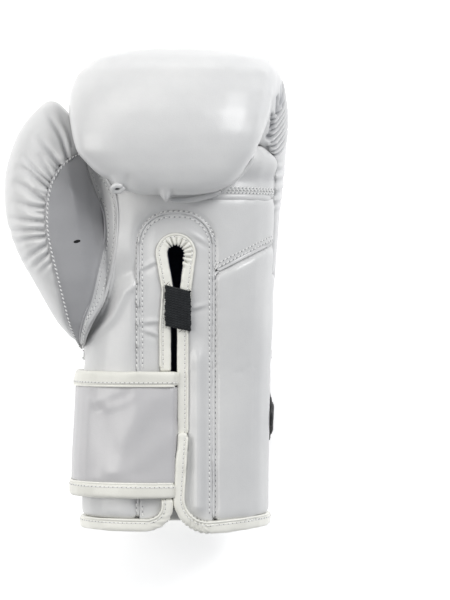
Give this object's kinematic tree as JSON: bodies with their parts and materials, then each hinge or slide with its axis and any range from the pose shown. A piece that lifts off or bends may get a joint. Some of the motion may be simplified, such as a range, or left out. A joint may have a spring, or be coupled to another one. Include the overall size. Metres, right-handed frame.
{
  "type": "boxing glove",
  "caption": "Left-hand boxing glove: padded mitt with a finger roll, gathered thumb, slit cuff, elastic band and a wide hook-and-loop wrist strap.",
  "frame": {"origin": "middle of the box round the glove, on the table under its padded back", "axes": "+X to the little-finger side, +Y from the cuff to the front of the fist, +Z out of the palm"},
  "size_m": [0.177, 0.2968, 0.122],
  "materials": {
    "white_leather": "smooth, lightly glossy",
    "grey_leather": "smooth, lightly glossy",
    "strap_leather": "smooth, lightly glossy",
    "binding": "soft, satin",
    "lining": "matt woven nylon",
    "elastic": "ribbed, matt",
    "patch": "satin weave",
    "loop_fabric": "fuzzy loop pile"
  },
  "bodies": {
    "root": {"padded_mitt": "white_leather", "thumb_shell": "white_leather", "palm_panel": "white_leather", "wrist_bolster": "white_leather", "slit_facing": "white_leather", "cuff_back_pad": "white_leather", "back_welt": "white_leather", "thumb_panel": "grey_leather", "thumb_gusset": "grey_leather", "grip_bar": "grey_leather", "slit_binding": "binding", "cuff_binding": "binding", "strap_binding_top": "binding", "strap_binding_bottom": "binding", "strap_binding_end": "binding", "hand_lining": "lining", "elastic_band": "elastic", "wrist_strap": "strap_leather", "strap_patch": "patch", "loop_panel": "loop_fabric"}
  },
  "joints": []
}
